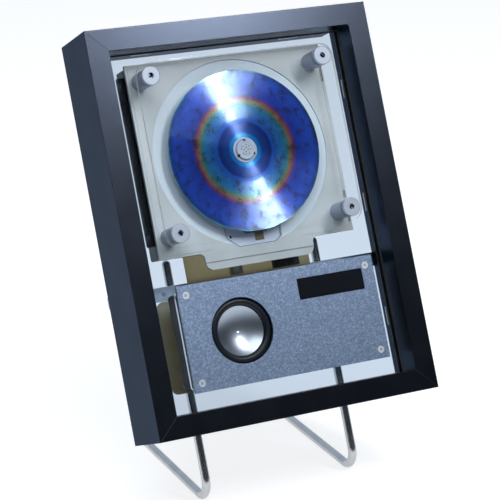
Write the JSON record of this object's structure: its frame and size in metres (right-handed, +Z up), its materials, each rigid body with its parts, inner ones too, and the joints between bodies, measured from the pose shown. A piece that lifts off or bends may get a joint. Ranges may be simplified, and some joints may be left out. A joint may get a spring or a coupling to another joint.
{
  "type": "wall mounted cd player",
  "caption": "Framed disc player leaning on bent rod legs: a disc drive behind a clear cover, above a small amplifier with a speaker and a display, in a deep shadow-box frame.",
  "frame": {"origin": "middle of the footprint, on the surface that the leg arms lie on", "axes": "+Z up, -Y towards the viewer of the disc, +X to the viewer's right"},
  "size_m": [0.225, 0.1706, 0.3432],
  "materials": {
    "aluminium": "satin",
    "black_plastic": "fine matt texture",
    "blasted_aluminium": "bead blasted",
    "board": "tan laminate",
    "brass": "machined",
    "chip": "moulded",
    "clear_panel": "clear, polished",
    "coil_copper": "enamelled wire",
    "dark_steel": "blackened",
    "disc_plastic": "printed, iridescent",
    "display_glass": "dark polished",
    "film": "amber film",
    "frame_lacquer": "black satin lacquer",
    "grey_plastic": "matt",
    "lens_blue": "coated",
    "motor_steel": "plated",
    "plate_steel": "zinc plated",
    "rod_steel": "bright satin",
    "rubber": "matt",
    "tray_plastic": "frosted ivory",
    "white_plastic": "moulded"
  },
  "bodies": {
    "player": {"frame_top_rail": "frame_lacquer", "frame_bottom_rail": "frame_lacquer", "frame_left_rail": "frame_lacquer", "frame_right_rail": "frame_lacquer", "corner_plates": "plate_steel", "rail_liners": "frame_lacquer", "back_panel": "clear_panel", "panel_clips": "plate_steel", "stand_bars": "plate_steel", "leg_left": "rod_steel", "leg_right": "rod_steel", "leg_saddles": "plate_steel", "rear_screws": "plate_steel", "hanging_plates": "plate_steel", "cover_plate": "clear_panel", "cover_caps": "aluminium", "standoff_barrels": "aluminium", "disc_tray": "tray_plastic", "drive_deck": "black_plastic", "drive_box": "black_plastic", "corner_posts": "grey_plastic", "spindle_motor": "motor_steel", "mech_plate": "motor_steel", "guide_rods": "motor_steel", "sled_motor": "motor_steel", "flex_ribbon": "film", "drive_board": "board", "drive_board_chips": "chip", "board_connector": "white_plastic", "board_spacers": "plate_steel", "faceplate": "blasted_aluminium", "faceplate_screws": "aluminium", "display_window": "display_glass", "display_module": "display_glass", "amp_front_case": "black_plastic", "amp_mid_plate": "aluminium", "amp_rear_case": "black_plastic", "speaker_basket": "dark_steel", "speaker_magnet": "dark_steel", "amp_board": "board", "button_strip": "aluminium", "button_board": "board", "sound_socket": "black_plastic", "power_inlet": "black_plastic"},
    "spindle": {"disc": "disc_plastic", "spindle_hub": "white_plastic", "hub_balls": "motor_steel", "spindle_shaft": "motor_steel"},
    "sled": {"pickup_sled": "black_plastic"},
    "lens": {"pickup_lens": "lens_blue"},
    "drive_gear": {"drive_gear": "white_plastic"},
    "motor_gear": {"motor_gear": "brass"},
    "cone": {"speaker_cone": "aluminium", "voice_coil": "coil_copper", "speaker_surround": "rubber"},
    "button_1": {"button_1": "grey_plastic"},
    "button_2": {"button_2": "grey_plastic"},
    "button_3": {"button_3": "grey_plastic"},
    "button_4": {"button_4": "grey_plastic"},
    "button_5": {"button_5": "grey_plastic"}
  },
  "joints": [
    {"name": "spindle_spin", "type": "hinge", "parent": "player", "child": "spindle", "pos_m": [0, 0.01073, 0.2483], "axis": [0, -0.91, 0.4147], "continuous": true},
    {"name": "drive_gear_turn", "type": "hinge", "parent": "player", "child": "drive_gear", "pos_m": [0.02256, 0.01591, 0.21627], "axis": [0, -0.91, 0.4147], "range_deg": [0, 518]},
    {"name": "motor_gear_turn", "type": "hinge", "parent": "player", "child": "motor_gear", "pos_m": [0.03412, 0.01727, 0.21565], "axis": [0, -0.91, 0.4147], "range_deg": [-1863, 0]},
    {"name": "sled_slide", "type": "slide", "parent": "player", "child": "sled", "axis": [0, -0.4147, -0.91], "range_m": [0, 0.0325]},
    {"name": "lens_focus", "type": "slide", "parent": "sled", "child": "lens", "axis": [0, -0.91, 0.4147], "range_m": [-0.0004, 0.0004], "stiffness_N_per_m": 100},
    {"name": "cone_travel", "type": "slide", "parent": "player", "child": "cone", "axis": [0, -0.91, 0.4147], "range_m": [-0.0008, 0.0008], "stiffness_N_per_m": 1500},
    {"name": "button_1_press", "type": "slide", "parent": "player", "child": "button_1", "axis": [-1, 0, 0], "range_m": [0, 0.0009], "stiffness_N_per_m": 600},
    {"name": "button_2_press", "type": "slide", "parent": "player", "child": "button_2", "axis": [-1, 0, 0], "range_m": [0, 0.0009], "stiffness_N_per_m": 600},
    {"name": "button_3_press", "type": "slide", "parent": "player", "child": "button_3", "axis": [-1, 0, 0], "range_m": [0, 0.0009], "stiffness_N_per_m": 600},
    {"name": "button_4_press", "type": "slide", "parent": "player", "child": "button_4", "axis": [-1, 0, 0], "range_m": [0, 0.0009], "stiffness_N_per_m": 600},
    {"name": "button_5_press", "type": "slide", "parent": "player", "child": "button_5", "axis": [-1, 0, 0], "range_m": [0, 0.0009], "stiffness_N_per_m": 600}
  ],
  "couplings": [
    {"joint": "drive_gear_turn", "follows": "sled_slide", "rad_per_m": 277.78},
    {"joint": "motor_gear_turn", "follows": "sled_slide", "rad_per_m": -1000}
  ]
}
